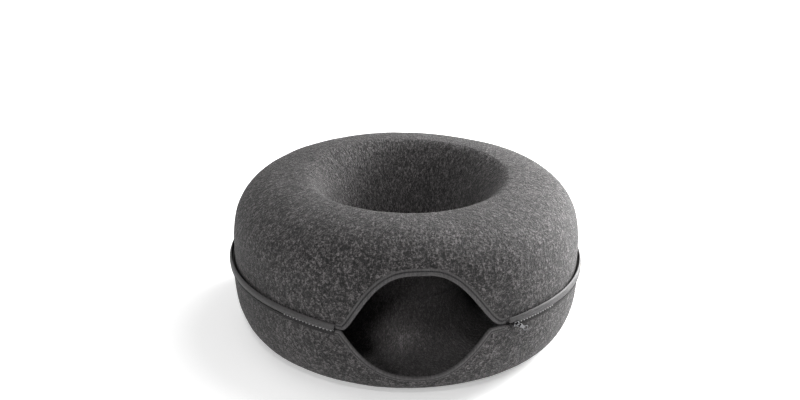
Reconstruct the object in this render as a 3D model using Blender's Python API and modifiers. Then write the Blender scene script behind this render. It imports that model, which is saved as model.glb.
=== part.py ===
"""Felt cat cave: a ring-shaped tunnel of two moulded felt shells.

The upper shell is pressed into a round shoulder and a funnel, the lower shell
into a bowl with a raised middle.  A zip joins them round the widest ring, and
the two funnels meet at a waist, so the hole in the middle goes right through.
The front is left open in an eye shape whose two edges are bound with tape.

Metres, +Z up.  The origin is on the floor under the middle of the ring, and
the opening faces -Y.  Angles are counted from -Y towards +X, in degrees.
"""
import math

import bpy
import numpy as np
from mathutils import Matrix, Vector

# ------------------------------------------------------------ driving sizes
HEIGHT = 0.2737          # floor to the highest ring of the upper shell
UPPER_R = 0.3003         # upper shell's wall, tucked in behind the band
LOWER_R = 0.3035         # lower shell's wall
CREST_R = 0.1781         # highest ring of the upper shell
FOOT_OUT_R = 0.2247      # flat foot ring, outer edge
FOOT_IN_R = 0.1660       # flat foot ring, inner edge
WAIST_R = 0.1040         # the middle hole at its narrowest
WAIST_Z = 0.0870         # height of the waist, where the shells meet

FELT = 0.0035            # moulded felt
TAPE = 0.0010            # binding tape
GAP = 0.00035            # clearance between pieces that lie together
LOOSE = 0.0004           # the binding's fold and inner leg stand this much freer

ZIP_Z = 0.1307           # mean height of the zip line
ZIP_LEAN = 0.00245       # the line is this much lower on the right
LEAN_FROM = 4.4          # degrees added to the angle for that lean
# The line dips at the opening's corners and recovers over this many degrees.
#        corner   dip
#        deg      m
DIPS = ((-25.2,   0.0042),
        (26.0,    0.0026))
DIP_REACH = 10.0

# The felt stops this far above (+) or below (-) the zip line.
UPPER_EDGE = -0.0020
LOWER_EDGE = -0.0058

# Superellipse powers of the four quarters of the half section: how the radius
# and the height follow the quarter turn from the upright wall to the flat.
#            quarter        radius  height
QUARTERS = {"upper wall":   (0.953, 0.535),
            "upper funnel": (1.110, 1.333),
            "lower wall":   (0.810, 0.614),
            "lower funnel": (0.840, 0.860)}

# The eye-shaped opening: each edge is a bell whose ends run out along the zip.
# Its two halves differ: half width, roundness of the crown, sweep of the ends.
#           edge     middle  rise      left half            right half
#                    deg     m         deg    crown sweep   deg    crown sweep
OPENING = {"upper": (1.5,    0.0964,  (24.6,  3.42, 1.58), (24.3,  2.61, 1.91)),
           "lower": (1.2,   -0.0777,  (25.0,  2.70, 1.11), (20.5,  2.16, 1.20))}

# Tape folded over the opening's two edges.
#           edge     from   to     width on the face
#                    deg    deg    m
BINDING = {"upper": (-25.2, 27.2,  0.0096),
           "lower": (-25.2, 26.4,  0.0060)}

# The zip's parts, as strips round the ring.  A strip runs from its first line
# to its second and is thickened to the inside, or to both sides.  Heights are
# from the zip line; each line stands out by its share of the flare.
#          strip               from   to     first line: r, height, flare   second line             thick   side  edge
#                              deg    deg    m       m                      m       m               m             m
STRIPS = {"zip_tape_upper": (28.0, 334.5, (0.3050, -0.0022, 1.0), (0.3050,  0.0056, 1.0), 0.0040, -1.0, 0.0012),
          "zip_chain":      (31.5, 334.5, (0.3042, -0.0040, 1.0), (0.2990, -0.0040, 0.0), 0.0028,  0.0, 0.0),
          "zip_tape_lower": (31.5, 334.5, (0.3050, -0.0132, 0.3), (0.3050, -0.0064, 1.0), 0.0010, -1.0, 0.0)}

# The band stands away from the felt on both flanks, and not in front or behind.
FLARE_LEFT, FLARE_RIGHT = 0.0046, 0.0034

# Zip slider, closed at the right corner of the opening.
SLIDER_AT = 30.3         # degrees
SLIDER_DROP = 0.0063     # its middle is this far below the zip line
SLIDER_L, SLIDER_W, SLIDER_T = 0.0100, 0.0071, 0.0034
BRIDGE_L, BRIDGE_W, BRIDGE_T = 0.0060, 0.0016, 0.0034
WINDOW_L, WINDOW_T = 0.0038, 0.0021
PULL_T = 0.0014          # plate of the pull
PULL_TURN = 34.0         # the pull hangs this many degrees below the zip line
PULL_LEAN = 5.0          # and leans back onto the felt
# Outline of the pull, in halves.
#        along    half width
PULL = ((-0.0007, 0.0036),
        (0.0098, 0.0036),
        (0.0130, 0.0026),
        (0.0178, 0.0026))
SLOT = (0.0007, 0.0085, 0.0026)         # from, to, half width
RING = (0.0233, 0.0050, 0.0031)         # middle, outer radius, hole radius

# Slow unevenness of the hand-moulded felt: waves round the ring.
#        waves  radius   height   phase
UNEVEN = ((2, 0.0005, 0.0006, 0.6),
          (3, 0.0004, 0.0005, 2.1),
          (5, 0.0002, 0.0004, 4.0))

# Columns of the lofts: closest at the opening's corners, wide behind it.
#          from    to     columns
#          deg     deg
COLUMNS = ((-27.6, -18.0,  8),
           (-18.0,  18.0, 16),
           (18.0,   30.0, 10),
           (30.0,  332.4, 24))


# ------------------------------------------------------------ half section
def quarter(name, r_flat, z_flat, r_wall, z_wall):
    """Superellipse quarter from the upright wall to the flat, ends crowded."""
    p, q = QUARTERS[name]
    t = (1 - np.cos(np.linspace(0, math.pi, 241))) * math.pi / 4
    c, s = np.maximum(np.cos(t), 0), np.maximum(np.sin(t), 0)
    return np.stack([r_flat + (r_wall - r_flat) * c ** p,
                     z_wall + (z_flat - z_wall) * s ** q], 1)


def zip_line(deg):
    """Height of the zip line at one angle."""
    deg = (deg + 180) % 360 - 180
    (left, left_dip), (right, right_dip) = DIPS
    across = min(max((deg - left) / (right - left), 0.0), 1.0)
    away = max(left - deg, deg - right, 0.0)
    dip = (left_dip + (right_dip - left_dip) * across) * math.exp(-(away / DIP_REACH) ** 2)
    return ZIP_Z - ZIP_LEAN * math.sin(math.radians(deg + LEAN_FROM)) - dip


class Section:
    """A shell's outer face at one angle, read by the distance s along it.

    It starts on the upright wall, 10 mm past the zip line, and ends at the
    waist.  n is the distance out of the face.
    """

    def __init__(self, side, deg):
        z0 = zip_line(deg)
        if side == "upper":
            self.sign = 1
            lead = np.array([[UPPER_R, z0 - 0.010]])
            wall = quarter("upper wall", CREST_R, HEIGHT, UPPER_R, z0)
            funnel = quarter("upper funnel", CREST_R, HEIGHT, WAIST_R, WAIST_Z + GAP / 2)
        else:
            self.sign = -1
            lead = np.array([[LOWER_R, z0 + 0.010]])
            wall = quarter("lower wall", FOOT_OUT_R, 0.0, LOWER_R, z0)
            funnel = quarter("lower funnel", FOOT_IN_R, 0.0, WAIST_R, WAIST_Z - GAP / 2)
        path = np.concatenate([lead, wall, funnel[::-1]])
        keep = np.concatenate([[True], np.linalg.norm(np.diff(path, axis=0), axis=1) > 1e-7])
        path = path[keep]
        self.s = np.concatenate([[0], np.cumsum(np.linalg.norm(np.diff(path, axis=0), axis=1))])
        self.path = path
        self.flat_s = float(self.s[np.argmax(self.sign * path[:, 1])])
        way = np.gradient(path, self.s, axis=0)
        way /= np.linalg.norm(way, axis=1)[:, None]
        self.out = np.stack([way[:, 1], -way[:, 0]], 1) * self.sign
        turn = np.abs(np.diff(np.unwrap(np.arctan2(way[:, 1], way[:, 0]))))
        self.bend = np.concatenate([[0], np.cumsum(turn)])

    def at(self, s, n=0.0):
        r = np.interp(s, self.s, self.path[:, 0]) + n * np.interp(s, self.s, self.out[:, 0])
        z = np.interp(s, self.s, self.path[:, 1]) + n * np.interp(s, self.s, self.out[:, 1])
        return r, z

    def find(self, z):
        """s on the wall at height z."""
        k = int(np.argmax(self.sign * self.path[:, 1])) + 1
        return float(np.interp(self.sign * z, self.sign * self.path[:k, 1], self.s[:k]))

    def rows(self, start, count):
        """Places from start to the waist, closer where the face turns, with a
        short last step so that the lips stand upright."""
        s = np.linspace(start, self.s[-1], 600)
        bend = np.interp(s, self.s, self.bend)
        m = (s - s[0]) / (s[-1] - s[0]) + 0.9 * (bend - bend[0]) / (bend[-1] - bend[0])
        places = list(np.interp(np.linspace(0, m[-1], count), m, s))
        return places[:-1] + [places[-1] - 0.003, places[-1]]


# ------------------------------------------------------------ felt edges
def edge_height(side, deg):
    """Height at which the felt stops, at one angle."""
    middle, rise, left, right = OPENING[side]
    half, crown, sweep = left if deg < middle else right
    start = UPPER_EDGE if side == "upper" else LOWER_EDGE
    x = min(abs(deg - middle) / half, 1.0)
    return zip_line(deg) + start + rise * (1 - x ** crown) ** sweep


class Edge:
    """A felt edge unrolled: the line that runs w from it, measured square."""

    REACH = UPPER_R - 0.006          # radius at which degrees become metres

    def __init__(self, side):
        deg = np.arange(-40.0, 40.01, 0.25)
        self.x = np.radians(deg) * self.REACH
        self.s = np.array([Section(side, a).find(edge_height(side, a)) for a in deg])

    def offset(self, deg, w):
        """Envelope of the circles of radius w along the edge."""
        x = math.radians((deg + 180) % 360 - 180) * self.REACH
        turn = np.linspace(-math.pi / 2, math.pi / 2, 61)
        s = np.interp(x + abs(w) * np.sin(turn), self.x, self.s) + w * np.cos(turn)
        return float(s.max() if w > 0 else s.min())


EDGES = {side: Edge(side) for side in OPENING}


# ------------------------------------------------------------ placing points
def world(deg, r, z):
    """Cylinder coordinates to metres, with the felt's slow unevenness."""
    a = math.radians(deg)
    for waves, dr, dz, phase in UNEVEN:
        wave = math.sin(waves * a + phase)
        r += dr * wave * max(0.0, min(1.0, z / 0.05))
        z += dz * wave * max(0.0, (z - 0.05) / (HEIGHT - 0.05)) ** 2
    return Vector((r * math.sin(a), -r * math.cos(a), z))


def columns(start=None, end=None):
    """Column angles of the whole ring, or of the stretch from start to end."""
    ring = [a for low, high, count in COLUMNS
            for a in np.linspace(low, high, count, endpoint=False)]
    if start is None:
        return ring
    every = sorted(a + turn for a in ring for turn in (-360, 0, 360))
    return [start] + [a for a in every if start + 0.25 < a < end - 0.25] + [end]


# ------------------------------------------------------------ scene
for old in list(bpy.data.objects):
    bpy.data.objects.remove(old, do_unlink=True)

CAVE = bpy.data.collections.new("felt_cat_cave")
CUTTERS = bpy.data.collections.new("cutters")
bpy.context.scene.collection.children.link(CAVE)
bpy.context.scene.collection.children.link(CUTTERS)


def material(name, colour, roughness, metallic=0.0):
    mat = bpy.data.materials.new(name)
    mat.use_nodes = True
    shader = mat.node_tree.nodes["Principled BSDF"]
    shader.inputs["Base Color"].default_value = (*colour, 1.0)
    shader.inputs["Roughness"].default_value = roughness
    shader.inputs["Metallic"].default_value = metallic
    mat.diffuse_color = (*colour, 1.0)
    return mat


FELT_GREY = material("felt_charcoal", (0.062, 0.062, 0.064), 0.95)
TAPE_GREY = material("tape_grey", (0.085, 0.082, 0.082), 0.85)
ZIP_GREY = material("zip_nylon", (0.050, 0.050, 0.052), 0.45)
GUNMETAL = material("gunmetal", (0.080, 0.080, 0.085), 0.32, 1.0)


def add(name, mesh, mat, collection=CAVE):
    mesh.materials.append(mat)
    mesh.shade_smooth()
    mesh.set_sharp_from_angle(angle=math.radians(38))
    obj = bpy.data.objects.new(name, mesh)
    collection.objects.link(obj)
    return obj


def loft(name, grid, ring, mat, thickness, offset):
    """An open surface through sections of points, thickened by Solidify."""
    rows = len(grid[0])
    points = [p for section in grid for p in section]
    faces = []
    for i in range(len(grid) - (0 if ring else 1)):
        j = (i + 1) % len(grid)
        for k in range(rows - 1):
            faces.append((i * rows + k, j * rows + k, j * rows + k + 1, i * rows + k + 1))
    mesh = bpy.data.meshes.new(name)
    mesh.from_pydata([tuple(p) for p in points], [], faces)
    mesh.update()
    obj = add(name, mesh, mat)
    solid = obj.modifiers.new("thickness", "SOLIDIFY")
    solid.thickness = thickness
    solid.offset = offset
    solid.use_even_offset = True
    solid.use_quality_normals = True
    return obj


# ------------------------------------------------------------ felt shells
SHELL_ROWS = {"upper": 13, "lower": 12}


def shell(side):
    edge, width = EDGES[side], BINDING[side][2]
    grid = []
    for deg in columns():
        section = Section(side, deg)
        places = [edge.offset(deg, w) for w in (0.0, width / 2, width)]
        places += section.rows(places[-1], SHELL_ROWS[side])[1:]
        if side == "lower":
            # the rows nearest the foot's two edges sit on them, so it is flat
            r_of = lambda s: section.at(s)[0]
            for r_edge in (FOOT_OUT_R, FOOT_IN_R):
                k = min(range(4, len(places) - 2), key=lambda i: abs(r_of(places[i]) - r_edge))
                flat = section.s[section.path[:, 1] <= 1e-9]
                places[k] = float(flat[0] if r_edge == FOOT_OUT_R else flat[-1])
        grid.append([world(deg, *section.at(s)) for s in places])
    if side == "lower":
        grid = [section[::-1] for section in grid]
    return loft(side + "_shell", grid, True, FELT_GREY, FELT, -1.0)


shell("upper").name = "top_shell"
shell("lower").name = "bottom_shell"


# ------------------------------------------------------------ bindings
def binding(side):
    """Tape folded over a felt edge: face leg, round fold, inside leg."""
    start, end, width = BINDING[side]
    edge, back = EDGES[side], FELT + GAP + LOOSE
    # rows of the tape's felt-side face: distance from the edge, out of the face
    fold = ((width, GAP), (width / 2, GAP), (0.0, GAP), (-GAP, 0.0),
            (-GAP - LOOSE, -FELT / 2), (-GAP, -FELT), (0.0, -back),
            (width / 2, -back), (width, -back))
    grid = []
    for deg in columns(start, end):
        section = Section(side, deg)
        grid.append([world(deg, *section.at(edge.offset(deg, w), n)) for w, n in fold])
    if side == "upper":
        grid = [section[::-1] for section in grid]
    return loft("binding_" + side, grid, False, TAPE_GREY, TAPE, 1.0)


binding("upper").name = "binding_top"
binding("lower").name = "binding_bottom"


# ------------------------------------------------------------ zip
def flare(deg):
    """How far the band stands out at one angle."""
    across = math.sin(math.radians(deg))
    return (FLARE_RIGHT if across > 0 else FLARE_LEFT) * across ** 2


def strip(name, mat):
    start, end, first, second, thick, side, edge = STRIPS[name]
    grid = [[world(deg, r + flare(deg) * share, zip_line(deg) + h) for r, h, share in (first, second)]
            for deg in columns(start, end)]
    obj = loft(name, grid, False, mat, thick, side)
    if edge:
        round_off = obj.modifiers.new("fold", "BEVEL")
        round_off.width = edge
        round_off.segments = 2
        round_off.limit_method = "ANGLE"
        round_off.angle_limit = math.radians(60)
    return obj


strip("zip_tape_upper", TAPE_GREY)
strip("zip_chain", ZIP_GREY)
strip("zip_tape_lower", TAPE_GREY)


# ------------------------------------------------------------ slider and pull
def local(deg, r, z):
    """Frame on the ring: X along the zip, Y up, Z out of the wall."""
    a = math.radians(deg)
    turn = Matrix(((math.cos(a), 0, math.sin(a)),
                   (math.sin(a), 0, -math.cos(a)),
                   (0, 1, 0)))
    return Matrix.Translation(world(deg, r, z)) @ turn.to_4x4()


def block(name, size, middle, frame, mat, collection):
    bpy.ops.mesh.primitive_cube_add(size=1.0)
    obj = bpy.context.active_object
    for other in list(obj.users_collection):
        other.objects.unlink(obj)
    collection.objects.link(obj)
    obj.name = name
    obj.data.name = name
    obj.data.transform(Matrix.Translation(middle) @ Matrix.Diagonal((*size, 1.0)))
    obj.data.materials.append(mat)
    obj.matrix_world = frame
    return obj


slider_z = zip_line(SLIDER_AT) - SLIDER_DROP
seat = local(SLIDER_AT, LOWER_R + GAP, slider_z)
slider = block("zip_slider", (SLIDER_L, SLIDER_W, SLIDER_T), (0, 0, SLIDER_T / 2), seat,
               GUNMETAL, CAVE)
bridge = block("bridge", (BRIDGE_L, BRIDGE_W, BRIDGE_T + 0.001),
               (0, 0, SLIDER_T + BRIDGE_T / 2 - 0.0005), seat, GUNMETAL, CUTTERS)
window = block("window", (WINDOW_L, BRIDGE_W * 3, WINDOW_T),
               (0, 0, SLIDER_T + WINDOW_T / 2), seat, GUNMETAL, CUTTERS)
for tool, how in ((bridge, "UNION"), (window, "DIFFERENCE")):
    tool.hide_render = True
    tool.display_type = "WIRE"
    cut = slider.modifiers.new(tool.name, "BOOLEAN")
    cut.object = tool
    cut.operation = how
    cut.solver = "EXACT"
soft = slider.modifiers.new("edges", "BEVEL")
soft.width = 0.0004
soft.segments = 2
soft.limit_method = "ANGLE"
soft.angle_limit = math.radians(40)
slider.data.shade_smooth()


def arc(middle, radius, start, end, count):
    turns = [math.radians(start + (end - start) * i / count) for i in range(count + 1)]
    return [(middle + radius * math.cos(t), radius * math.sin(t)) for t in turns]


ring_mid, ring_r, hole_r = RING
neck = math.degrees(math.asin(PULL[-1][1] / ring_r))
below = [(x, -half) for x, half in PULL]
outline = (below + arc(ring_mid, ring_r, -180 + neck, 180 - neck, 20)[1:-1]
           + [(x, -y) for x, y in below[::-1]])
hung = (seat @ Matrix.Translation((0, 0, SLIDER_T + 0.0003 + PULL_T / 2))
        @ Matrix.Rotation(math.radians(-PULL_TURN), 4, "Z")
        @ Matrix.Rotation(math.radians(PULL_LEAN), 4, "Y"))
plate = bpy.data.meshes.new("zip_pull")
plate.from_pydata([(x, y, 0) for x, y in outline], [], [tuple(range(len(outline)))])
pull = add("zip_pull", plate, GUNMETAL)
pull.matrix_world = hung
thick = pull.modifiers.new("thickness", "SOLIDIFY")
thick.thickness = PULL_T
thick.offset = 0.0
start, end, half = SLOT
slot = block("slot", (end - start, half * 2, PULL_T * 4), ((start + end) / 2, 0, 0), hung,
             GUNMETAL, CUTTERS)
bpy.ops.mesh.primitive_cylinder_add(vertices=20, radius=hole_r, depth=PULL_T * 4)
hole = bpy.context.active_object
for other in list(hole.users_collection):
    other.objects.unlink(hole)
CUTTERS.objects.link(hole)
hole.name = "ring_hole"
hole.matrix_world = hung @ Matrix.Translation((ring_mid, 0, 0))
for tool in (slot, hole):
    tool.hide_render = True
    tool.display_type = "WIRE"
    cut = pull.modifiers.new(tool.name, "BOOLEAN")
    cut.object = tool
    cut.operation = "DIFFERENCE"
    cut.solver = "EXACT"
soften = pull.modifiers.new("edges", "BEVEL")
soften.width = 0.0002
soften.segments = 1
soften.limit_method = "ANGLE"
soften.angle_limit = math.radians(60)
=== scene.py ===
"""Looks of the felt cat cave: a ring-shaped tunnel of two moulded felt shells.

Metres, +Z up, the opening faces -Y.  Angles are counted from -Y towards +X, in
degrees.  The felt, the folded tapes and the zip's teeth are built as fine meshes
on the same half section that the plain solids follow; the slider and pull stay plain solids.
"""
import math

import bmesh
import bpy
import numpy as np
from mathutils import Matrix, Vector

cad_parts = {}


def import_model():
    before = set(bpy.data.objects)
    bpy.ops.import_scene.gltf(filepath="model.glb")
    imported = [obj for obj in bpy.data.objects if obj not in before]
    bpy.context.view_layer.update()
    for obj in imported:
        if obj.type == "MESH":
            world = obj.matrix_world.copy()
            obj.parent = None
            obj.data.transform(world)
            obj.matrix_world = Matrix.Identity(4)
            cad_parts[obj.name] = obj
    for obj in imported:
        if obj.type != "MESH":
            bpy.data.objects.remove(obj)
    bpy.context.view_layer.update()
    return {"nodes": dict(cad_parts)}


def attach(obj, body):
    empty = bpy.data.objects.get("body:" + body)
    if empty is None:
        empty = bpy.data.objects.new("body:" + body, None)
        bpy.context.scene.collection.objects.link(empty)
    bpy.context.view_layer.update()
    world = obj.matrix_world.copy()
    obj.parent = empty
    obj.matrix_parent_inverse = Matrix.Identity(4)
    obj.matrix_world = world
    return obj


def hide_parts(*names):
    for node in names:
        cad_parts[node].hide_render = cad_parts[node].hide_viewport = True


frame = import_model()

# ------------------------------------------------------------ sizes of the form
HEIGHT, BAND_R, UPPER_R, LOWER_R, CREST_R = 0.2737, 0.3050, 0.3003, 0.3035, 0.1781
FOOT_OUT_R, FOOT_IN_R, WAIST_R, WAIST_Z = 0.2247, 0.1660, 0.1040, 0.0870
FELT, TAPE, GAP, WAIST_GAP = 0.0035, 0.0010, 0.00035, 0.00012
FLARE_LEFT, FLARE_RIGHT = 0.0046, 0.0034     # the band stands off the felt on the flanks
ZIP_Z, ZIP_LEAN, LEAN_FROM = 0.1307, 0.00245, 4.4
DIPS, DIP_REACH = ((-25.2, 0.0042), (26.0, 0.0026)), 10.0
START = {"upper": -0.0020, "lower": -0.0058}
QUARTERS = {"upper wall": (0.953, 0.535), "upper funnel": (1.110, 1.333),
            "lower wall": (0.810, 0.614), "lower funnel": (0.840, 0.860)}
#           edge     middle  rise      left half            right half
OPENING = {"upper": (1.5, 0.0964, (24.6, 3.42, 1.58), (24.3, 2.61, 1.91)),
           "lower": (1.2, -0.0777, (25.0, 2.70, 1.11), (20.5, 2.16, 1.20))}
#           edge     from   to     width on the face
BINDING = {"upper": (-25.2, 27.2, 0.0096), "lower": (-25.2, 26.4, 0.0060)}
ZIP_FROM, ZIP_TO = 31.5, 334.5
#         waves  radius  height  phase
UNEVEN = ((2, 0.0005, 0.0006, 0.6), (3, 0.0004, 0.0005, 2.1), (5, 0.0002, 0.0004, 4.0))
CORNER_NICK = 0.0034        # the lower felt draws back beside the slider
LAY_R = 0.20                # radius at which the felt's lay is unrolled


# ------------------------------------------------------------ half section
def quarter(name, r_flat, z_flat, r_wall, z_wall):
    p, q = QUARTERS[name]
    t = (1 - np.cos(np.linspace(0, math.pi, 361))) * math.pi / 4
    c, s = np.maximum(np.cos(t), 0), np.maximum(np.sin(t), 0)
    return np.stack([r_flat + (r_wall - r_flat) * c ** p,
                     z_wall + (z_flat - z_wall) * s ** q], 1)


def zip_line(deg):
    deg = (np.asarray(deg, float) + 180) % 360 - 180
    (left, left_dip), (right, right_dip) = DIPS
    across = np.clip((deg - left) / (right - left), 0, 1)
    away = np.maximum(np.maximum(left - deg, deg - right), 0)
    dip = (left_dip + (right_dip - left_dip) * across) * np.exp(-(away / DIP_REACH) ** 2)
    return ZIP_Z - ZIP_LEAN * np.sin(np.radians(deg + LEAN_FROM)) - dip


class Section:
    """A shell's outer face at one angle: s runs along it, n out of it."""

    def __init__(self, side, deg):
        z0 = float(zip_line(deg))
        if side == "upper":
            self.sign = 1
            lead = np.array([[UPPER_R, z0 - 0.010]])
            wall = quarter("upper wall", CREST_R, HEIGHT, UPPER_R, z0)
            funnel = quarter("upper funnel", CREST_R, HEIGHT, WAIST_R, WAIST_Z + WAIST_GAP / 2)
        else:
            self.sign = -1
            lead = np.array([[LOWER_R, z0 + 0.010]])
            wall = quarter("lower wall", FOOT_OUT_R, 0.0, LOWER_R, z0)
            funnel = quarter("lower funnel", FOOT_IN_R, 0.0, WAIST_R, WAIST_Z - WAIST_GAP / 2)
        path = np.concatenate([lead, wall, funnel[::-1]])
        keep = np.concatenate([[True], np.linalg.norm(np.diff(path, axis=0), axis=1) > 1e-7])
        path = path[keep]
        self.s = np.concatenate([[0], np.cumsum(np.linalg.norm(np.diff(path, axis=0), axis=1))])
        self.path = path
        way = np.gradient(path, self.s, axis=0)
        way /= np.linalg.norm(way, axis=1)[:, None]
        self.out = np.stack([way[:, 1], -way[:, 0]], 1) * self.sign
        turn = np.abs(np.diff(np.unwrap(np.arctan2(way[:, 1], way[:, 0]))))
        self.bend = np.concatenate([[0], np.cumsum(turn)])

    def at(self, s, n=0.0):
        return (np.interp(s, self.s, self.path[:, 0]) + n * np.interp(s, self.s, self.out[:, 0]),
                np.interp(s, self.s, self.path[:, 1]) + n * np.interp(s, self.s, self.out[:, 1]))

    def find(self, z):
        k = int(np.argmax(self.sign * self.path[:, 1])) + 1
        return float(np.interp(self.sign * z, self.sign * self.path[:k, 1], self.s[:k]))

    def rows(self, start, count):
        s = np.linspace(start, self.s[-1], 900)
        bend = np.interp(s, self.s, self.bend)
        m = (s - s[0]) / (s[-1] - s[0]) + 0.5 * (bend - bend[0]) / (bend[-1] - bend[0])
        return np.interp(np.linspace(0, m[-1], count), m, s)


def edge_height(side, deg):
    middle, rise, left, right = OPENING[side]
    half, crown, sweep = left if deg < middle else right
    x = min(abs(deg - middle) / half, 1.0)
    nick = CORNER_NICK * math.exp(-((deg - 28.5) / 1.2) ** 2) if side == "lower" else 0.0
    return float(zip_line(deg)) + START[side] + rise * (1 - x ** crown) ** sweep - nick


class Edge:
    """A felt edge unrolled, and the line that runs w from it."""

    REACH = UPPER_R - 0.006

    def __init__(self, side):
        deg = np.arange(-40.0, 40.01, 0.25)
        self.x = np.radians(deg) * self.REACH
        self.s = np.array([Section(side, a).find(edge_height(side, a)) for a in deg])

    def offset(self, deg, w):
        x = math.radians((deg + 180) % 360 - 180) * self.REACH
        turn = np.linspace(-math.pi / 2, math.pi / 2, 61)
        s = np.interp(x + abs(w) * np.sin(turn), self.x, self.s) + w * np.cos(turn)
        return float(s.max() if w > 0 else s.min())


EDGES = {side: Edge(side) for side in OPENING}


def world(deg, r, z):
    """Cylinder coordinates, arrays of one shape, to points in metres."""
    a = np.radians(deg)
    r, z = np.array(r, float), np.array(z, float)
    for waves, dr, dz, phase in UNEVEN:
        wave = np.sin(waves * a + phase)
        r = r + dr * wave * np.clip(z / 0.05, 0, 1)
        z = z + dz * wave * np.maximum(0.0, (z - 0.05) / (HEIGHT - 0.05)) ** 2
    return np.stack([r * np.sin(a), -r * np.cos(a), z], -1)


# ------------------------------------------------------------ smooth noise
def value_noise(p, seed):
    """Smooth noise from -1 to 1 at points p, an (n, 3) array."""
    def corner(i):
        h = (i[:, 0] * 73856093) ^ (i[:, 1] * 19349663) ^ (i[:, 2] * 83492791) ^ (seed * 2654435)
        h = (h ^ (h >> 13)) * 1274126177 & 0x7FFFFFFF
        return (h ^ (h >> 16)) % 65536 / 32767.5 - 1
    base = np.floor(p).astype(np.int64)
    f = p - base
    f = f * f * (3 - 2 * f)
    total = np.zeros(len(p))
    for dx in (0, 1):
        for dy in (0, 1):
            for dz in (0, 1):
                w = (np.where(dx, f[:, 0], 1 - f[:, 0]) * np.where(dy, f[:, 1], 1 - f[:, 1])
                     * np.where(dz, f[:, 2], 1 - f[:, 2]))
                total += w * corner(base + np.array([dx, dy, dz]))
    return total


# ------------------------------------------------------------ meshes
def new_object(name, points, faces, mat, lay=None, smooth=True):
    mesh = bpy.data.meshes.new(name)
    mesh.vertices.add(len(points))
    mesh.vertices.foreach_set("co", np.asarray(points, np.float32).ravel())
    faces = np.asarray(faces, np.int32)
    mesh.loops.add(faces.size)
    mesh.loops.foreach_set("vertex_index", faces.ravel())
    mesh.polygons.add(len(faces))
    mesh.polygons.foreach_set("loop_start", np.arange(0, faces.size, faces.shape[1], dtype=np.int32))
    mesh.update(calc_edges=True)
    mesh.validate()
    if lay is not None:
        layer = mesh.attributes.new("lay", "FLOAT_VECTOR", "POINT")
        layer.data.foreach_set("vector", np.asarray(lay, np.float32).ravel())
    if smooth:
        mesh.shade_smooth()
    mesh.materials.append(mat)
    obj = bpy.data.objects.new(name, mesh)
    bpy.context.scene.collection.objects.link(obj)
    return obj


def grid_faces(columns, rows, ring, flip=False):
    """Quads of a columns x rows grid, closed round the columns if ring."""
    i = np.arange(columns if ring else columns - 1)[:, None]
    k = np.arange(rows - 1)[None, :]
    j = (i + 1) % columns
    quads = np.stack([i * rows + k, j * rows + k, j * rows + k + 1, i * rows + k + 1], -1)
    quads = quads.reshape(-1, 4)
    return quads[:, ::-1] if flip else quads


def lay_of(deg, s):
    a = np.radians(deg)
    return np.stack([LAY_R * np.sin(a), -LAY_R * np.cos(a), np.asarray(s, float)], -1)


# ------------------------------------------------------------ materials
def node_tree(name, diffuse):
    mat = bpy.data.materials.new(name)
    mat.use_nodes = True
    mat.diffuse_color = (*diffuse, 1)
    return mat, mat.node_tree.nodes, mat.node_tree.links, mat.node_tree.nodes["Principled BSDF"]


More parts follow.
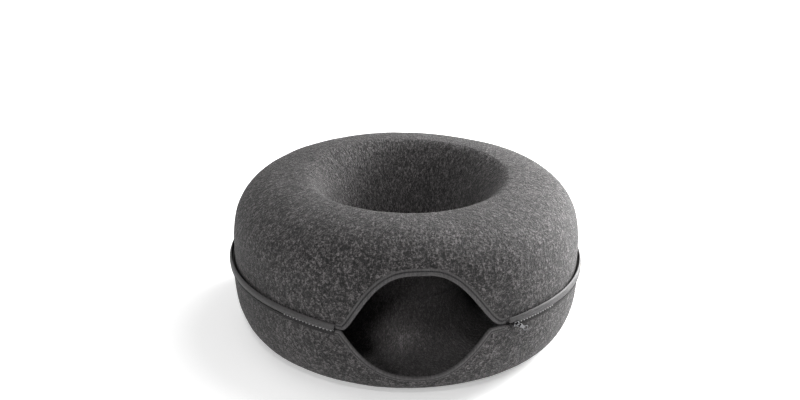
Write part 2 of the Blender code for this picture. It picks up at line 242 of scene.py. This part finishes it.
class Net:
    """Short calls to build a material's nodes."""

    def __init__(self, name, diffuse):
        self.mat, self.nodes, self.links, self.shader = node_tree(name, diffuse)

    def add(self, kind, **values):
        node = self.nodes.new(kind)
        for key, value in values.items():
            setattr(node, key, value)
        return node

    def wire(self, a, b):
        self.links.new(a, b)

    def attribute(self, name):
        return self.add("ShaderNodeAttribute", attribute_name=name).outputs["Vector"]

    def scaled(self, vector, scale):
        node = self.add("ShaderNodeMapping")
        node.inputs["Scale"].default_value = scale
        self.wire(vector, node.inputs["Vector"])
        return node.outputs["Vector"]

    def noise(self, vector, scale, detail=2.0, rough=0.5, distortion=0.0):
        node = self.add("ShaderNodeTexNoise")
        node.inputs["Scale"].default_value = scale
        node.inputs["Detail"].default_value = detail
        node.inputs["Roughness"].default_value = rough
        node.inputs["Distortion"].default_value = distortion
        self.wire(vector, node.inputs["Vector"])
        return node.outputs["Fac"]

    def span(self, value, a, b, c, d, smooth=False):
        node = self.add("ShaderNodeMapRange")
        node.interpolation_type = "SMOOTHSTEP" if smooth else "LINEAR"
        for socket, v in zip(("From Min", "From Max", "To Min", "To Max"), (a, b, c, d)):
            node.inputs[socket].default_value = v
        self.wire(value, node.inputs["Value"])
        return node.outputs["Result"]

    def math(self, operation, a, b=None, clamp=False):
        node = self.add("ShaderNodeMath", operation=operation, use_clamp=clamp)
        for socket, v in zip(node.inputs, (a, b)):
            if v is None:
                continue
            if isinstance(v, (int, float)):
                socket.default_value = v
            else:
                self.wire(v, socket)
        return node.outputs[0]

    def ramp(self, value, stops):
        node = self.add("ShaderNodeValToRGB")
        ramp = node.color_ramp
        while len(ramp.elements) < len(stops):
            ramp.elements.new(0.5)
        for element, (place, colour) in zip(ramp.elements, stops):
            element.position = place
            element.color = (*colour, 1)
        self.wire(value, node.inputs["Fac"])
        return node.outputs["Color"]

    def mix(self, factor, a, b, blend="MIX"):
        node = self.add("ShaderNodeMix", data_type="RGBA", blend_type=blend)
        sockets = node.inputs
        for socket, v in ((sockets[0], factor), (sockets[6], a), (sockets[7], b)):
            if isinstance(v, (int, float)):
                socket.default_value = v
            elif isinstance(v, tuple):
                socket.default_value = (*v, 1)
            else:
                self.wire(v, socket)
        return node.outputs[2]

    def bump(self, height, strength, distance, normal=None):
        node = self.add("ShaderNodeBump")
        node.inputs["Strength"].default_value = strength
        node.inputs["Distance"].default_value = distance
        self.wire(height, node.inputs["Height"])
        if normal is not None:
            self.wire(normal, node.inputs["Normal"])
        return node.outputs["Normal"]

    def finish(self, colour, roughness, normal=None, sheen=0.0, sheen_rough=0.5, specular=0.3,
               metallic=0.0):
        put = self.shader.inputs
        self.wire(colour, put["Base Color"])
        if isinstance(roughness, (int, float)):
            put["Roughness"].default_value = roughness
        else:
            self.wire(roughness, put["Roughness"])
        put["Metallic"].default_value = metallic
        put["Specular IOR Level"].default_value = specular
        put["Sheen Weight"].default_value = sheen
        put["Sheen Roughness"].default_value = sheen_rough
        if normal is not None:
            self.wire(normal, put["Normal"])
        return self.mat


# Share of the felt's tone from its darkest to its palest fibres.
MELANGE = ((0.42, 0.01), (0.465, 0.18), (0.50, 0.72), (0.535, 2.00), (0.585, 4.90))
FELT_ROUGH, FELT_SHEEN, FELT_GLOSS = 0.78, 0.07, 0.36
# how much paler the felt's inner side is painted, as painted light inside the shaded tunnel, and how far its
# mottling is evened out
INNER_PAINTED_LIGHT, INNER_EVEN = 1.75, 0.5


def felt_material(name, tone, seed):
    """Pressed melange felt: dark and pale fibres in short brushed clumps."""
    net = Net(name, (0.07, 0.07, 0.07))
    lay = net.attribute("lay")
    # The lay runs along the section, so the noise is stretched that way.
    along = net.scaled(lay, (1.0, 1.0, 0.55))
    cloud = net.noise(lay, 9.0 + seed, 3.0, 0.55)
    clump = net.noise(along, 110.0, 4.0, 0.65, 0.5)
    streak = net.noise(along, 330.0, 4.0, 0.75, 0.6)
    curl = net.noise(lay, 430.0, 3.0, 0.75, 1.2)
    mixed = net.math("ADD", net.math("MULTIPLY", streak, 0.46),
                     net.math("ADD", net.math("MULTIPLY", clump, 0.12),
                              net.math("MULTIPLY", curl, 0.42)))
    melange = net.ramp(mixed, tuple((place, tuple(c * share for c in tone))
                                    for place, share in MELANGE))
    # the inner side, inside the tunnel, is painted paler and less mottled: the paleness is painted light
    # lifting the tunnel's shade
    inner_side = net.add("ShaderNodeAttribute", attribute_name="inner").outputs["Fac"]
    melange = net.mix(net.math("MULTIPLY", inner_side, INNER_EVEN), melange, tone)
    shade = net.math("MULTIPLY", net.span(cloud, 0.30, 0.70, 0.84, 1.17),
                     net.span(inner_side, 0.0, 1.0, 1.0, INNER_PAINTED_LIGHT))
    colour = net.mix(1.0, melange, shade_colour(net, shade), "MULTIPLY")
    height = net.math("ADD", net.math("MULTIPLY", streak, 0.80),
                      net.math("ADD", net.math("MULTIPLY", clump, 0.9),
                               net.math("MULTIPLY", curl, 0.35)))
    normal = net.bump(height, 0.95, 0.0040)
    return net.finish(colour, FELT_ROUGH, normal, sheen=FELT_SHEEN, sheen_rough=0.3,
                      specular=FELT_GLOSS)


def shade_colour(net, value):
    node = net.add("ShaderNodeCombineColor")
    for socket in node.inputs[:3]:
        net.wire(value, socket)
    return node.outputs["Color"]


def tape_material(name, tone, pitch, rough=0.82, gloss=0.25, seam=None):
    """Woven tape: ribs across it, fine threads, a little lint, and a stitched line."""
    net = Net(name, tone)
    lay = net.attribute("lay")
    rib = net.add("ShaderNodeTexWave", wave_type="BANDS", bands_direction="X")
    rib.inputs["Scale"].default_value = 1.0 / pitch / 20 * 2 * math.pi / 2
    rib.inputs["Distortion"].default_value = 0.6
    rib.inputs["Detail"].default_value = 1.0
    rib.inputs["Detail Scale"].default_value = 3.0
    net.wire(lay, rib.inputs["Vector"])
    thread = net.noise(net.scaled(lay, (1.0, 0.35, 1.0)), 1500.0, 2.0, 0.6)
    lint = net.noise(lay, 240.0, 3.0, 0.6)
    cloud = net.noise(lay, 30.0, 2.0, 0.5)
    base = net.ramp(net.math("ADD", net.math("MULTIPLY", thread, 0.55), net.math("MULTIPLY", lint, 0.45)),
                    ((0.34, tuple(c * 0.62 for c in tone)), (0.52, tone),
                     (0.68, tuple(c * 1.45 for c in tone))))
    shade = net.math("MULTIPLY", net.span(rib.outputs["Fac"], 0, 1, 0.86, 1.08),
                     net.span(cloud, 0.3, 0.7, 0.92, 1.08))
    colour = net.mix(1.0, base, shade_colour(net, shade), "MULTIPLY")
    if seam is not None:
        # the stitches pull the tape into short dips, and their shade is painted in as a dark dashed line
        split = net.add("ShaderNodeSeparateXYZ")
        net.wire(lay, split.inputs[0])
        away = net.math("ABSOLUTE", net.math("SUBTRACT", split.outputs[1], seam))
        line = net.span(away, 0.0006, 0.0016, 1.0, 0.0, True)
        wave = net.math("COSINE", net.math("MULTIPLY", split.outputs[0], 2 * math.pi / STITCH))
        dark = net.math("MULTIPLY", line, net.span(wave, -0.7, 0.3, 0.55, 0.95, True))
        colour = net.mix(dark, colour, tuple(c * 0.12 for c in tone))
    height = net.math("ADD", net.math("MULTIPLY", rib.outputs["Fac"], 0.6),
                      net.math("MULTIPLY", thread, 0.5))
    normal = net.bump(height, 0.45, 0.0004)
    return net.finish(colour, rough, normal, sheen=0.03, sheen_rough=0.4, specular=gloss)


def thread_material(name, tone):
    net = Net(name, tone)
    place = net.add("ShaderNodeTexCoord").outputs["Object"]
    twist = net.noise(place, 2200.0, 2.0, 0.5)
    colour = net.ramp(twist, ((0.35, tuple(c * 0.6 for c in tone)), (0.65, tuple(c * 1.5 for c in tone))))
    return net.finish(colour, 0.7, net.bump(twist, 0.4, 0.0002), sheen=0.1, specular=0.3)


def nylon_material(name, tone):
    net = Net(name, tone)
    place = net.add("ShaderNodeTexCoord").outputs["Object"]
    wear = net.noise(place, 300.0, 3.0, 0.6)
    colour = net.ramp(wear, ((0.35, tuple(c * 0.7 for c in tone)), (0.7, tuple(c * 1.35 for c in tone))))
    rough = net.span(wear, 0.3, 0.7, 0.32, 0.52)
    return net.finish(colour, rough, net.bump(wear, 0.15, 0.0002), specular=0.45)


def metal_material(name, tone):
    net = Net(name, tone)
    place = net.add("ShaderNodeTexCoord").outputs["Object"]
    wear = net.noise(place, 420.0, 4.0, 0.65)
    brush = net.noise(net.scaled(place, (1.0, 1.0, 6.0)), 900.0, 2.0, 0.6)
    colour = net.ramp(wear, ((0.35, tuple(c * 0.75 for c in tone)), (0.70, tuple(c * 1.5 for c in tone))))
    rough = net.span(brush, 0.3, 0.7, 0.16, 0.30)
    return net.finish(colour, rough, net.bump(brush, 0.12, 0.0001), specular=0.5, metallic=1.0)


FELT_TONE = (0.0316, 0.0294, 0.0296)
FELT_TOP = felt_material("felt_top", FELT_TONE, 0.0)
FELT_LOW = felt_material("felt_bottom", FELT_TONE, 2.3)
STITCH = 0.0034             # one stitch and its gap
#        edge     seam's place
SEAMS = {"upper": 0.0052, "lower": 0.0028}
TAPE_TONE = (0.064, 0.0612, 0.0618)
TAPE_UPPER = tape_material("binding_tape_upper", TAPE_TONE, STITCH, seam=SEAMS["upper"])
# the lower binding is the same tape painted 1.25 times paler: painted light
TAPE_LOWER_PAINTED_LIGHT = tape_material("binding_tape_lower_painted_light", tuple(1.25 * c for c in TAPE_TONE), STITCH,
                           seam=SEAMS["lower"])
TAPE_ZIP = tape_material("zip_tape", (0.050, 0.0478, 0.0484), 0.0011, rough=0.58, gloss=0.38)
# the lower zip tape is painted far darker than the ridge's tape: painted shade of its downward-facing slant
TAPE_FOOT_PAINTED_SHADE = tape_material("zip_tape_foot_painted_shade", (0.021, 0.0201, 0.0204), 0.0011, rough=0.75, gloss=0.15)
THREAD = thread_material("seam_thread", (0.008, 0.008, 0.009))
NYLON = nylon_material("zip_nylon", (0.16, 0.156, 0.158))
# the chain's core is painted far darker than its teeth: painted shade in the recess behind the teeth
CORE_PAINTED_SHADE = nylon_material("zip_core_painted_shade", (0.018, 0.0175, 0.018))
METAL = metal_material("gunmetal", (0.105, 0.105, 0.108))
COIL = nylon_material("zip_coil_thread", (0.34, 0.335, 0.338))

# ------------------------------------------------------------ felt shells
COLUMNS = 540
OUT_ROWS = {"upper": 104, "lower": 92}
IN_ROWS = {"upper": 50, "lower": 56}


def felt_shell(side, name, mat):
    """Outer face, cut edge, inner face: one closed skin."""
    edge, sections = EDGES[side], []
    degs = np.arange(COLUMNS) * 360.0 / COLUMNS
    points, lay, inside = [], [], []
    for deg in degs:
        section = Section(side, deg)
        start = edge.offset(deg, 0.0)
        outer = section.rows(start, OUT_ROWS[side])
        inner = section.rows(start, IN_ROWS[side])
        s = np.concatenate([outer, inner[::-1]])
        n = np.concatenate([np.zeros(len(outer)), np.full(len(inner), -FELT)])
        r, z = section.at(s, n)
        sections.append((deg, s, n))
        points.append(world(np.full(len(s), deg), r, z))
        lay.append(lay_of(np.full(len(s), deg), s))
        inside.append((n < 0).astype(np.float32))
    rows = len(points[0])
    points, lay = np.concatenate(points), np.concatenate(lay)
    i = np.arange(COLUMNS)[:, None]
    k = np.arange(rows)[None, :]
    j, m = (i + 1) % COLUMNS, (k + 1) % rows
    faces = np.stack([i * rows + k, j * rows + k, j * rows + m, i * rows + m], -1).reshape(-1, 4)
    if side == "lower":
        faces = faces[:, ::-1]
    obj = new_object(name, points, faces, mat, lay)
    obj.data.attributes.new("inner", "FLOAT", "POINT").data.foreach_set("value", np.concatenate(inside))
    # slow dents and the felt's own lumps, along the face's normal
    mesh = obj.data
    normals = np.zeros(len(points) * 3, np.float32)
    mesh.vertices.foreach_get("normal", normals)
    normals = normals.reshape(-1, 3).astype(float)
    lumps = (0.00055 * value_noise(points * 14 + 3.1, 11) + 0.00028 * value_noise(points * 42 + 7.7, 5)
             + 0.00016 * value_noise(lay * np.array([150, 150, 80]), 23))
    keep = np.clip(points[:, 2] / 0.012, 0, 1) if side == "lower" else np.ones(len(points))
    points = points + normals * (lumps * keep)[:, None]
    mesh.vertices.foreach_set("co", points.astype(np.float32).ravel())
    mesh.update()
    return obj


top = felt_shell("upper", "felt_top_shell", FELT_TOP)
bottom = felt_shell("lower", "felt_bottom_shell", FELT_LOW)

# ------------------------------------------------------------ bindings
def edge_walk(side, start, end, step):
    """Angles along a binding at equal distances along the edge, and the distances."""
    edge = EDGES[side]
    deg = np.arange(start, end, 0.05)
    s = np.array([edge.offset(a, 0.0) for a in deg])
    run = np.concatenate([[0], np.cumsum(np.hypot(np.diff(np.radians(deg) * edge.REACH), np.diff(s)))])
    way = np.arange(0, run[-1], step)
    return np.interp(way, run, deg), way, run[-1]


def fold_profile(side, width, count):
    """Skin of the folded tape: place w from the edge and height n over the face."""
    seam = SEAMS[side]
    back = FELT + GAP
    w, n, share = [], [], []
    # face leg, from its cut edge down to the fold
    for t in np.linspace(0, 1, count):
        place = width * (1 - t)
        groove = math.exp(-((place - seam) / 0.0008) ** 2)
        swell = 0.00035 * math.sin(math.pi * min(max((seam - place) / (seam + 0.001), 0), 1))
        cut = min((width - place) / 0.0006, 1.0)
        n.append(GAP + TAPE * (0.35 + 0.65 * math.sqrt(cut)) + swell - 0.0006 * groove)
        w.append(place)
        share.append(0.35 + 0.65 * (place < seam))
    # the fold, a half turn round the felt's edge
    half = (FELT + 2 * GAP + 2 * TAPE) / 2
    for t in np.linspace(0, math.pi, 14)[1:-1]:
        w.append(-0.0014 * math.sin(t))
        n.append(-FELT / 2 + half * math.cos(t))
        share.append(1.0)
    for t in np.linspace(0, 1, 8):
        w.append(width * t)
        n.append(-back - TAPE * (1.0 if t < 0.99 else 0.5))
        share.append(0.35)
    return np.array(w), np.array(n), np.array(share)


def binding(side, name, replaced):
    start, end, width = BINDING[side]
    degs, way, length = edge_walk(side, start, end, 0.00085)
    w, n, share = fold_profile(side, width, 22)
    edge = EDGES[side]
    points, lay = [], []
    closing = len(w)
    for deg, along in zip(degs, way):
        section = Section(side, deg)
        s = np.array([edge.offset(deg, place) for place in w])
        pull = np.cos(2 * math.pi * along / STITCH)
        close = min(along / 0.003, (length - along) / 0.003, 1.0)
        rise = 0.00022 * share * pull
        s = s - 0.00050 * share * pull * (w < 0.0008)
        r, z = section.at(s, n + rise)
        points.append(world(np.full(len(s), deg), r, z))
        lay.append(np.stack([np.full(len(w), along), w, n], -1))
    rows = len(w)
    # the inner skin that lies on the felt closes each section
    points = np.array(points)
    lay = np.array(lay)
    inner = []
    for c, deg in enumerate(degs):
        section = Section(side, deg)
        places = np.array([(width, -FELT - GAP), (0.0, -FELT - GAP), (-GAP, -FELT), (-GAP, 0.0),
                           (0.0, GAP), (width, GAP)])
        s = np.array([edge.offset(deg, p) for p in places[:, 0]])
        r, z = section.at(s, places[:, 1])
        inner.append(world(np.full(len(s), deg), r, z))
    inner = np.array(inner)
    points = np.concatenate([points, inner], 1)
    lay = np.concatenate([lay, np.repeat(lay[:, -1:], inner.shape[1], 1)], 1)
    cols, rows = points.shape[:2]
    i = np.arange(cols - 1)[:, None]
    k = np.arange(rows)[None, :]
    m = (k + 1) % rows
    faces = np.stack([i * rows + k, (i + 1) * rows + k, (i + 1) * rows + m, i * rows + m], -1)
    faces = faces.reshape(-1, 4)
    if side == "upper":
        faces = faces[:, ::-1]
    mat = TAPE_UPPER if side == "upper" else TAPE_LOWER_PAINTED_LIGHT
    obj = new_object(name, points.reshape(-1, 3), faces, mat, lay.reshape(-1, 3))
    bm = bmesh.new()
    bm.from_mesh(obj.data)
    loops = [e for e in bm.edges if e.is_boundary]
    bmesh.ops.holes_fill(bm, edges=loops, sides=0)
    bmesh.ops.recalc_face_normals(bm, faces=bm.faces)
    bm.to_mesh(obj.data)
    bm.free()
    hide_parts(replaced)
    return obj, length


bind_top, top_run = binding("upper", "binding_tape_top", "binding_top")
bind_low, low_run = binding("lower", "binding_tape_bottom", "binding_bottom")


def tube_pieces(paths, radius, sides, name, mat):
    """Short capsules along polylines, joined in one mesh."""
    points, faces, base = [], [], 0
    turn = np.linspace(0, 2 * math.pi, sides, endpoint=False)
    for path in paths:
        path = np.asarray(path, float)
        way = np.gradient(path, axis=0)
        way /= np.linalg.norm(way, axis=1)[:, None]
        up = np.array([0.0, 0.0, 1.0])
        a = np.cross(way, up)
        a /= np.maximum(np.linalg.norm(a, axis=1), 1e-9)[:, None]
        b = np.cross(way, a)
        size = np.full(len(path), radius)
        size[0] = size[-1] = radius * 0.45
        ring = (path[:, None] + size[:, None, None]
                * (np.cos(turn)[None, :, None] * a[:, None] + np.sin(turn)[None, :, None] * b[:, None]))
        count = len(path)
        points.append(ring.reshape(-1, 3))
        for c in range(count - 1):
            for d in range(sides):
                e = (d + 1) % sides
                faces.append((base + c * sides + d, base + (c + 1) * sides + d,
                              base + (c + 1) * sides + e, base + c * sides + e))
        for cap, order in ((0, 1), (count - 1, -1)):
            ids = [base + cap * sides + d for d in range(sides)]
            for d in range(1, sides - 2, 2):
                quad = (ids[0], ids[d], ids[d + 1], ids[d + 2])
                faces.append(quad if order == 1 else quad[::-1])
        base += count * sides
    obj = new_object(name, np.concatenate(points), faces, mat)
    bm = bmesh.new()
    bm.from_mesh(obj.data)
    bmesh.ops.recalc_face_normals(bm, faces=bm.faces)
    bm.to_mesh(obj.data)
    bm.free()
    return obj


def seam(side, name):
    """Dark stitches sunk in the tape's groove."""
    start, end, width = BINDING[side]
    degs, way, length = edge_walk(side, start + 0.4, end - 0.4, 0.0004)
    edge, paths = EDGES[side], []
    place = SEAMS[side]
    for begin in np.arange(0.0006, way[-1] - STITCH, STITCH):
        at = np.interp(np.linspace(begin, begin + STITCH * 0.70, 5), way, degs)
        lift = np.sin(np.linspace(0, math.pi, 5)) * 0.00022
        path = []
        for deg, up in zip(at, lift):
            r, z = Section(side, deg).at(edge.offset(deg, place), GAP + TAPE * 0.62 + up)
            path.append(world(deg, r, z))
        paths.append(path)
    return tube_pieces(paths, 0.00042, 6, name, THREAD)


stitch_top = seam("upper", "seam_top")
stitch_low = seam("lower", "seam_bottom")

# ------------------------------------------------------------ zip band
def smooth_step(x, a, b):
    t = np.clip((np.asarray(x, float) - a) / (b - a), 0, 1)
    return t * t * (3 - 2 * t)


def band(name, start, end, section_of, mat, replaced, step=0.35):
    """A strip round the ring; section_of(deg) gives its closed outline in r and height."""
    degs = np.append(np.arange(start, end, step), end)
    points, lay = [], []
    for deg in degs:
        outline = section_of(deg)
        r, h = outline[:, 0], outline[:, 1]
        points.append(world(np.full(len(r), deg), r, zip_line(deg) + h))
        lay.append(np.stack([np.full(len(r), math.radians(deg) * BAND_R), h, r - 0.3], -1))
    cols, rows = len(points), len(points[0])
    i = np.arange(cols - 1)[:, None]
    k = np.arange(rows)[None, :]
    m = (k + 1) % rows
    faces = np.stack([i * rows + k, (i + 1) * rows + k, (i + 1) * rows + m, i * rows + m], -1).reshape(-1, 4)
    obj = new_object(name, np.concatenate(points), faces, mat, np.concatenate(lay))
    bm = bmesh.new()
    bm.from_mesh(obj.data)
    bmesh.ops.holes_fill(bm, edges=[e for e in bm.edges if e.is_boundary], sides=0)
    bmesh.ops.recalc_face_normals(bm, faces=bm.faces)
    bm.to_mesh(obj.data)
    bm.free()
    if replaced:
        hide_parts(replaced)
    return obj


def flare(deg):
    across = math.sin(math.radians(deg))
    return (FLARE_RIGHT if across > 0 else FLARE_LEFT) * across ** 2


def lip(deg):
    """How far the ridge hangs over the teeth: not at the opening's corners."""
    return float(smooth_step(deg, 36.0, 56.0) * (1 - smooth_step(deg, 314.0, 328.0)))


def ridge(deg):
    """Upper tape folded into a soft ridge over the zip, with a lip that hides the teeth."""
    out, hang = 0.3050 + flare(deg), 0.0026 * lip(deg)
    high, low, seat = 0.0056, -0.0022 - hang, -0.0021
    r_in = 0.3010 + flare(deg)
    # the outer face leans back from the upright lip to the narrow top
    turn = np.linspace(math.pi / 2, 0, 11)
    rows = [(r_in, high - 0.0010), (r_in + 0.0002, high - 0.0002)]
    rows += [(out - 0.0036 + 0.0036 * max(math.cos(t), 0) ** 1.25,
              high - 0.0062 + 0.0062 * math.sin(t) ** 1.25) for t in turn]
    rows += [(out - 0.00008, low + 0.0010),
             (out - 0.00025, low + 0.0005), (out - 0.0005, low), (out - 0.0008, low + 0.00002 + 0.06 * hang),
             (out - 0.0009, seat - 0.00003), (out - 0.0014, seat), (r_in + 0.0003, seat),
             (r_in, seat + 0.0005)]
    return np.array(rows)


def lower_tape(deg):
    """Lower tape: its top stands off with the band, its foot lies on the felt."""
    top, low, f = -0.0064, -0.0132, flare(deg)
    t = np.linspace(0, 1, 11)
    h = low + (top - low) * t
    lean = f * (0.3 + 0.7 * t)
    swell = np.array([-0.0006, -0.00015, 0.0, -0.00005, -0.0003, -0.00005, 0.0, 0.0, 0.0, -0.0001, -0.0005])
    face = np.stack([0.3050 + lean + swell, h], 1)
    back = np.array([[0.30405 + f * (0.3 + 0.7 * t), low + (top - low) * t] for t in (1.0, 0.5, 0.0)])
    return np.concatenate([face, back])


ridge_piece = band("zip_ridge", 28.0, 334.5, ridge, TAPE_ZIP, "zip_tape_upper")
lower_piece = band("zip_tape_bottom", ZIP_FROM, ZIP_TO, lower_tape, TAPE_FOOT_PAINTED_SHADE, "zip_tape_lower")


def zip_teeth():
    """Closed coil: hooked teeth from both sides."""
    points, faces, base = [], [], 0
    ring = math.pi * 2 * 0.3040
    pitch = 0.00150
    count = int((ZIP_TO - ZIP_FROM) / 360 * ring / pitch)
    cube = np.array([(x, y, z) for x in (-1, 1) for y in (-1, 1) for z in (-1, 1)], float)
    quads = np.array([(0, 1, 3, 2), (4, 6, 7, 5), (0, 4, 5, 1), (2, 3, 7, 6), (0, 2, 6, 4), (1, 5, 7, 3)])
    for c in range(count):
        deg = ZIP_FROM + (c + 0.5) * (ZIP_TO - ZIP_FROM) / count
        side = 1 if c % 2 else -1
        z = float(zip_line(deg)) - 0.0040 + side * 0.00034
        # along, out of the wall, up: a tooth is narrower at its outer face
        size = np.array([0.00050, 0.00075, 0.00096])
        shape = cube * size
        shape[:, 0] *= np.where(shape[:, 1] > 0, 0.72, 1.0)
        shape[:, 2] *= np.where(shape[:, 1] > 0, 0.86, 1.0)
        a = math.radians(deg)
        along, out = np.array([math.cos(a), math.sin(a), 0]), np.array([math.sin(a), -math.cos(a), 0])
        middle = world(deg, 0.3036 + flare(deg), z)
        points.append(middle + shape[:, :1] * along + shape[:, 1:2] * out
                      + shape[:, 2:] * np.array([0, 0, 1.0]))
        faces.append(quads + base)
        base += 8
    obj = new_object("zip_teeth", np.concatenate(points), np.concatenate(faces), NYLON, smooth=False)
    bm = bmesh.new()
    bm.from_mesh(obj.data)
    bmesh.ops.recalc_face_normals(bm, faces=bm.faces)
    bm.to_mesh(obj.data)
    bm.free()
    return obj


def chain_core(deg):
    top, low = -0.0026, -0.0054
    h = np.linspace(low, top, 7)
    out = 0.3030 + flare(deg) + 0.0002 * np.cos(np.linspace(-1, 1, 7) * math.pi)
    back = 0.2992
    return np.concatenate([np.stack([out, h], 1), [[back, top], [back, low]]])


core_piece = band("zip_core", ZIP_FROM, ZIP_TO, chain_core, CORE_PAINTED_SHADE, "zip_chain")
teeth_piece = zip_teeth()


def band_seam():
    """Row of stitches along the foot of the lower tape."""
    paths = []
    step = math.degrees(0.0032 / 0.305)
    for deg in np.arange(32.0, 333.6, step):
        at = np.linspace(deg, deg + step * 0.62, 4)
        lift = np.sin(np.linspace(0, math.pi, 4)) * 0.00012
        paths.append([world(a, 0.30472 + flare(a) * 0.58 + up, float(zip_line(a)) - 0.0105)
                      for a, up in zip(at, lift)])
    return tube_pieces(paths, 0.00026, 5, "seam_band", THREAD)


seam_band = band_seam()


def coil_seam():
    """Glossy stitches that hold the coil, seen under the ridge at the zip's two ends."""
    paths = []
    step = math.degrees(0.0062 / 0.305)
    for first, last in ((31.9, 47.0), (317.0, 333.6)):
        for deg in np.arange(first, last, step):
            at = np.linspace(deg, deg + step * 0.48, 4)
            lift = np.sin(np.linspace(0, math.pi, 4)) * 0.0002
            paths.append([world(a, 0.3051 + flare(a) + up, float(zip_line(a)) - 0.0049)
                          for a, up in zip(at, lift)])
    return tube_pieces(paths, 0.00088, 6, "seam_coil", COIL)


seam_coil = coil_seam()


# ------------------------------------------------------------ slider and pull
for node in ("zip_slider", "zip_pull"):
    cad = frame["nodes"][node]
    cad.data.materials.clear()
    cad.data.materials.append(METAL)

# ------------------------------------------------------------ ties to the frame
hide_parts("top_shell")
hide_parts("bottom_shell")
PIECES = ((top, "felt_charcoal"), (bottom, "felt_charcoal"), (bind_top, "tape_grey"),
          (bind_low, "tape_grey"), (stitch_top, "tape_grey"), (stitch_low, "tape_grey"),
          (ridge_piece, "tape_grey"), (lower_piece, "tape_grey"), (core_piece, "zip_nylon"),
          (teeth_piece, "zip_nylon"), (seam_band, "tape_grey"), (seam_coil, "zip_nylon"))
for piece, slot_name in PIECES:
    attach(piece, "root")

# ------------------------------------------------------------ floor
floor_mesh = bpy.data.meshes.new("floor")
span = 40.0
floor_mesh.from_pydata([(-span, -span, 0), (span, -span, 0), (span, span, 0), (-span, span, 0)], [],
                       [(0, 1, 2, 3)])
floor = bpy.data.objects.new("floor", floor_mesh)
bpy.context.scene.collection.objects.link(floor)
floor.location.z = -0.0006
paper = Net("floor_paper", (0.9, 0.9, 0.9))
grain = paper.noise(paper.add("ShaderNodeTexCoord").outputs["Object"], 4.0, 2.0, 0.5)
paper.finish(paper.ramp(grain, ((0.3, (0.91, 0.91, 0.91)), (0.7, (0.94, 0.94, 0.94)))), 0.9, specular=0.1)
paper.shader.inputs["Emission Color"].default_value = (1.0, 1.0, 1.0, 1)
paper.shader.inputs["Emission Strength"].default_value = 0.32
floor_mesh.materials.append(paper.mat)

# ------------------------------------------------------------ lights
LIGHTS = {
    #           direction: azimuth from the camera, elevation; distance, size, power
    "back_right_high": (110.0, 65.0, 2.0, 1.0, 21.0),
    "back_right": (120.0, 40.0, 2.0, 1.0, 27.0),
    "back_right_low": (118.0, 18.0, 2.0, 1.0, 87.0),
    "left_high": (-90.0, 70.0, 2.0, 1.0, 3.0),
    "front": (-10.0, 44.0, 2.4, 0.20, 9.5),
    "front_low": (-18.0, 26.0, 2.4, 0.25, 11.0),
}
for name, (azimuth, height, far, size, power) in LIGHTS.items():
    lamp = bpy.data.lights.new(name, "AREA")
    lamp.shape = "DISK"
    lamp.size = size
    lamp.energy = power
    obj = bpy.data.objects.new(name, lamp)
    a, e = math.radians(azimuth), math.radians(height)
    way = Vector((math.sin(a) * math.cos(e), -math.cos(a) * math.cos(e), math.sin(e)))
    obj.location = Vector((0, 0, 0.12)) + way * far
    obj.rotation_euler = (-way).to_track_quat("-Z", "Y").to_euler()
    bpy.context.scene.collection.objects.link(obj)

# two narrow soft beams through the opening, onto the raised middle inside
BEAMS = {
    #              aims at                 azimuth, elevation, distance, cone, power
    "inner_patch": ((-0.024, -0.148, 0.035), -8.0, 30.0, 1.2, 3.5, 37.0),
    "inner_fill": ((0.040, -0.142, 0.043), -8.0, 30.0, 1.2, 8.4, 8.5),
}
for name, (aim, azimuth, height, far, cone, power) in BEAMS.items():
    lamp = bpy.data.lights.new(name, "SPOT")
    lamp.spot_size = math.radians(cone)
    lamp.spot_blend = 1.0
    lamp.shadow_soft_size = 0.03
    lamp.energy = power
    obj = bpy.data.objects.new(name, lamp)
    a, e = math.radians(azimuth), math.radians(height)
    way = Vector((math.sin(a) * math.cos(e), -math.cos(a) * math.cos(e), math.sin(e)))
    obj.location = Vector(aim) + way * far
    obj.rotation_euler = (-way).to_track_quat("-Z", "Y").to_euler()
    bpy.context.scene.collection.objects.link(obj)

sky = bpy.data.worlds.new("studio")
sky.use_nodes = True
sky.node_tree.nodes["Background"].inputs["Color"].default_value = (1.0, 1.0, 1.0, 1)
sky.node_tree.nodes["Background"].inputs["Strength"].default_value = 0.32
bpy.context.scene.world = sky
# two soft lamps over the floor far behind keep it pale up to the frame's corners
for side in (-1, 1):
    lamp = bpy.data.lights.new("floor_wash", "AREA")
    lamp.shape = "DISK"
    lamp.size = 2.0
    lamp.energy = 45.0
    obj = bpy.data.objects.new("floor_wash", lamp)
    obj.location = (2.3 * side, 3.6, 1.5)
    bpy.context.scene.collection.objects.link(obj)
bpy.context.scene.view_settings.view_transform = "Standard"

# ------------------------------------------------------------ camera
TILT, TURN, FAR, LOOK_Z = math.radians(25.0222), math.radians(4.4), 1.95777, 0.1375
lens = bpy.data.cameras.new("camera")
lens.sensor_width = 36.0
lens.lens = 0.565294501 * 1957.771 / 800 * 36.0
lens.shift_x = (400 - 406.0545) / 800
lens.shift_y = -(200 - 244.7799) / 800
camera = bpy.data.objects.new("camera", lens)
back = Vector((-math.sin(TURN) * math.cos(TILT), -math.cos(TURN) * math.cos(TILT), math.sin(TILT)))
camera.location = Vector((0, 0, LOOK_Z)) + back * FAR
spin = (-back).to_track_quat("-Z", "Y") @ Matrix.Rotation(math.radians(0.638272), 4, "Z").to_quaternion()
camera.rotation_euler = spin.to_euler()
bpy.context.scene.collection.objects.link(camera)
bpy.context.scene.camera = camera

bpy.context.view_layer.update()
